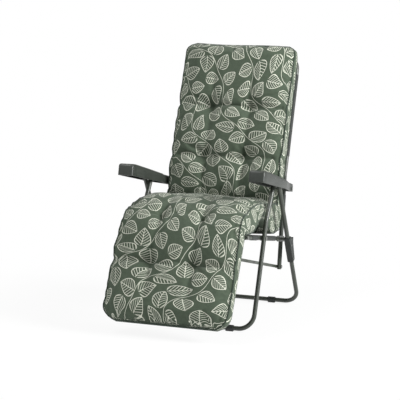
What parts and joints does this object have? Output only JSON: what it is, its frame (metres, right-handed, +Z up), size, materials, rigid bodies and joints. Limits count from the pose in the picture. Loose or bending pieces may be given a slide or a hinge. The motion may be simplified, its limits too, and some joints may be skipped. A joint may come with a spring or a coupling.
{
  "type": "chaise lounge",
  "caption": "Padded folding garden lounger with a tubular frame, sliding armrests that set the back's recline, and a footrest that rises as the back goes down.",
  "frame": {"origin": "on the floor, under the middle of the open chair's length and width, with the back upright", "axes": "+Z up, -Y the way the sitter faces, +X the sitter's left"},
  "size_m": [0.6134, 0.9046, 1.0965],
  "materials": {
    "frame_paint": "satin",
    "zinc_steel": "satin",
    "fitting_plastic": "satin",
    "armrest_plastic": "satin",
    "sling_fabric": "matte",
    "cushion_fabric": "matte"
  },
  "bodies": {
    "front_legs": {"front_leg_frame": "frame_paint", "front_leg_caps": "fitting_plastic", "front_foot_pads": "fitting_plastic", "leg_pivot_pins": "zinc_steel", "seat_pivot_bolts": "zinc_steel", "seat_pivot_washers": "fitting_plastic"},
    "rear_legs": {"rear_leg_frame": "frame_paint", "rear_leg_caps": "fitting_plastic", "rear_foot_pads": "fitting_plastic", "cradle_left": "fitting_plastic", "cradle_right": "fitting_plastic", "cradle_rivets": "zinc_steel"},
    "seat": {"seat_frame": "frame_paint", "seat_rest_bar": "frame_paint", "rest_bar_sleeves": "fitting_plastic", "seat_tube_caps": "fitting_plastic", "back_hinge_plates": "frame_paint", "hinge_plate_rivets": "zinc_steel", "back_hinge_bolts": "zinc_steel", "footrest_hinge_bolts": "zinc_steel", "footrest_hinge_washers": "fitting_plastic", "seat_sling": "sling_fabric", "seat_cushion": "cushion_fabric", "knee_cushion": "cushion_fabric"},
    "back": {"back_frame": "frame_paint", "back_tube_caps": "fitting_plastic", "back_sling": "sling_fabric", "back_cushion": "cushion_fabric", "armrest_bolts": "zinc_steel", "armrest_washers": "fitting_plastic", "link_bolts": "zinc_steel"},
    "footrest": {"footrest_frame": "frame_paint", "footrest_caps": "fitting_plastic", "footrest_sling": "sling_fabric", "foot_cushion": "cushion_fabric", "link_pins": "zinc_steel"},
    "push_link_left": {"link_left": "frame_paint"},
    "push_link_right": {"link_right": "frame_paint"},
    "armrest_left": {"armrest_left": "armrest_plastic", "rack_left": "zinc_steel", "rack_screws_left": "zinc_steel"},
    "armrest_right": {"armrest_right": "armrest_plastic", "rack_right": "zinc_steel", "rack_screws_right": "zinc_steel"}
  },
  "joints": [
    {"name": "leg_fold", "type": "hinge", "parent": "front_legs", "child": "rear_legs", "pos_m": [0, 0.04768, 0.545], "axis": [-1, 0, 0], "range_deg": [0, 44]},
    {"name": "seat_lift", "type": "hinge", "parent": "front_legs", "child": "seat", "pos_m": [0, -0.06424, 0.352], "axis": [1, 0, 0], "range_deg": [0, 20.01]},
    {"name": "back_recline", "type": "hinge", "parent": "seat", "child": "back", "pos_m": [0, 0.23138, 0.30094], "axis": [-1, 0, 0], "range_deg": [0, 32]},
    {"name": "footrest_lift", "type": "hinge", "parent": "seat", "child": "footrest", "pos_m": [0, -0.22487, 0.37974], "axis": [-1, 0, 0], "range_deg": [0, 54.66], "deforming": ["knee_cushion"]},
    {"name": "push_link_left_pivot", "type": "hinge", "parent": "back", "child": "push_link_left", "pos_m": [0.233, 0.21389, 0.18525], "axis": [1, 0, 0], "range_deg": [0, 27.36]},
    {"name": "push_link_right_pivot", "type": "hinge", "parent": "back", "child": "push_link_right", "pos_m": [-0.233, 0.21389, 0.18525], "axis": [1, 0, 0], "range_deg": [0, 27.36]},
    {"name": "armrest_left_pivot", "type": "hinge", "parent": "back", "child": "armrest_left", "pos_m": [0.264, 0.26279, 0.50857], "axis": [1, 0, 0], "range_deg": [0, 27.92]},
    {"name": "armrest_right_pivot", "type": "hinge", "parent": "back", "child": "armrest_right", "pos_m": [-0.264, 0.26279, 0.50857], "axis": [1, 0, 0], "range_deg": [0, 27.92]}
  ],
  "couplings": [
    {"joint": "seat_lift", "follows": "leg_fold", "ratio": 0.45454},
    {"joint": "footrest_lift", "follows": "back_recline", "ratio": 1.708},
    {"joint": "push_link_left_pivot", "follows": "back_recline", "ratio": 0.85468},
    {"joint": "push_link_right_pivot", "follows": "back_recline", "ratio": 0.85468},
    {"joint": "armrest_left_pivot", "follows": "back_recline", "ratio": 0.87206},
    {"joint": "armrest_right_pivot", "follows": "back_recline", "ratio": 0.87206}
  ]
}
